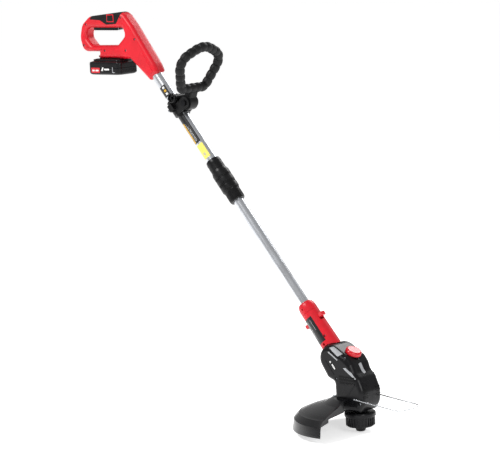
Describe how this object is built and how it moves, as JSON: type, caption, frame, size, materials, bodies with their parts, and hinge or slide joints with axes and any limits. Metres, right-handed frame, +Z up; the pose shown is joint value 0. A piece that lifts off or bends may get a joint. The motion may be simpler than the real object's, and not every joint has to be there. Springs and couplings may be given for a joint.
{
  "type": "string trimmer",
  "caption": "Cordless string trimmer with red D-handle, slide-on battery, telescopic aluminium shaft, black loop front handle and tilting motor head with guard.",
  "frame": {"origin": "centre of the bump knob's bottom face, on the spool's axis", "axes": "+X ahead of the operator, +Y to the operator's left, +Z up along the spool's axis"},
  "size_m": [1.0003, 0.2999, 0.9866],
  "materials": {
    "red_plastic": "moulded, fine texture",
    "black_plastic": "moulded, satin",
    "soft_grip": "soft-touch overmould",
    "loop_foam": "ribbed grip",
    "tube_aluminium": "satin anodised",
    "steel": "zinc plated",
    "motor_can": "plated",
    "cell_wrap": "shrink wrap",
    "cable": "matt",
    "nylon_line": "nylon"
  },
  "bodies": {
    "handle": {"handle_right": "red_plastic", "handle_left": "red_plastic", "grip_insert": "soft_grip", "handle_screws": "steel", "trigger_pin": "steel", "power_switch": "black_plastic", "terminal_block": "black_plastic", "upper_tube": "tube_aluminium", "lead_coil": "cable", "collar_sleeve": "black_plastic", "tube_wedge": "black_plastic", "lock_bezel": "red_plastic", "trigger_spring": "steel"},
    "trigger": {"trigger": "black_plastic"},
    "lock_off": {"lock_off_button": "black_plastic"},
    "battery": {"battery_cover": "black_plastic", "battery_tray": "black_plastic", "battery_cells": "cell_wrap"},
    "latch": {"battery_latch": "red_plastic"},
    "clamp": {"clamp_front": "black_plastic", "clamp_back": "black_plastic", "clamp_screws": "steel", "loop_bolt": "steel", "loop_nut": "steel"},
    "loop": {"loop_handle": "loop_foam"},
    "knob": {"loop_knob": "black_plastic"},
    "collar": {"collar_nut": "black_plastic"},
    "lower_shaft": {"lower_tube": "tube_aluminium", "lower_lead": "cable", "neck_cap": "red_plastic"},
    "neck": {"neck_right": "red_plastic", "neck_left": "red_plastic", "neck_screws": "steel", "release_spring": "steel"},
    "release": {"release_ring": "red_plastic"},
    "head": {"head_right": "black_plastic", "head_left": "black_plastic", "head_screws": "steel", "pivot_pin": "steel", "motor": "motor_can", "motor_mount": "black_plastic", "guard": "black_plastic", "guard_screws": "steel", "line_cutter": "steel", "pedal_spring": "steel"},
    "pedal": {"pedal": "red_plastic"},
    "flower_guard": {"wire_guard": "steel"},
    "spool": {"motor_shaft": "steel", "spool_housing": "black_plastic", "spool_cap": "black_plastic", "spool_reel": "red_plastic", "cutting_line": "nylon_line", "line_eyelets": "steel", "bump_spring": "steel"},
    "bump": {"bump_knob": "black_plastic"}
  },
  "joints": [
    {"name": "trigger_pull", "type": "hinge", "parent": "handle", "child": "trigger", "pos_m": [-0.71073, 0, 0.95573], "axis": [0, 1, 0], "range_deg": [0, 4.2], "stiffness_Nm_per_rad": 0.5},
    {"name": "lock_off_press", "type": "slide", "parent": "handle", "child": "lock_off", "axis": [0, 1, 0], "range_m": [0, 0.0035], "stiffness_N_per_m": 300},
    {"name": "battery_slide", "type": "slide", "parent": "handle", "child": "battery", "axis": [-1, 0, 0], "range_m": [0, 0.1]},
    {"name": "latch_press", "type": "slide", "parent": "battery", "child": "latch", "axis": [0, 0, -1], "range_m": [0, 0.003], "stiffness_N_per_m": 300},
    {"name": "clamp_slide", "type": "slide", "parent": "handle", "child": "clamp", "axis": [-0.6347, 0, 0.7727], "range_m": [-0.05, 0.04]},
    {"name": "loop_tilt", "type": "hinge", "parent": "clamp", "child": "loop", "pos_m": [-0.4957, 0, 0.76576], "axis": [0, 1, 0], "range_deg": [-35, 55]},
    {"name": "knob_turn", "type": "hinge", "parent": "clamp", "child": "knob", "pos_m": [-0.52545, -0.025, 0.77756], "axis": [0, -1, 0], "continuous": true},
    {"name": "collar_twist", "type": "hinge", "parent": "handle", "child": "collar", "pos_m": [-0.35545, 0, 0.53673], "axis": [-0.6347, 0, 0.7727], "range_deg": [0, 90]},
    {"name": "shaft_extend", "type": "slide", "parent": "handle", "child": "lower_shaft", "axis": [0.6347, 0, -0.7727], "range_m": [-0.15, 0.05]},
    {"name": "neck_turn", "type": "hinge", "parent": "lower_shaft", "child": "neck", "pos_m": [-0.13774, 0, 0.27168], "axis": [-0.6347, 0, 0.7727], "range_deg": [-90, 90]},
    {"name": "release_pull", "type": "slide", "parent": "neck", "child": "release", "axis": [0.6347, 0, -0.7727], "range_m": [0, 0.005], "stiffness_N_per_m": 300},
    {"name": "head_tilt", "type": "hinge", "parent": "neck", "child": "head", "pos_m": [-0.05713, 0, 0.17355], "axis": [0, 1, 0], "range_deg": [-20, 30]},
    {"name": "pedal_press", "type": "slide", "parent": "head", "child": "pedal", "axis": [-0.4226, 0, -0.9063], "range_m": [0, 0.005], "stiffness_N_per_m": 600},
    {"name": "guard_flip", "type": "hinge", "parent": "head", "child": "flower_guard", "pos_m": [0.014, 0, 0.0845], "axis": [0, -1, 0], "range_deg": [0, 80]},
    {"name": "spool_spin", "type": "hinge", "parent": "head", "child": "spool", "pos_m": [0, 0, 0.03], "axis": [0, 0, 1], "continuous": true},
    {"name": "bump_press", "type": "slide", "parent": "spool", "child": "bump", "axis": [0, 0, 1], "range_m": [0, 0.004], "stiffness_N_per_m": 4000}
  ]
}
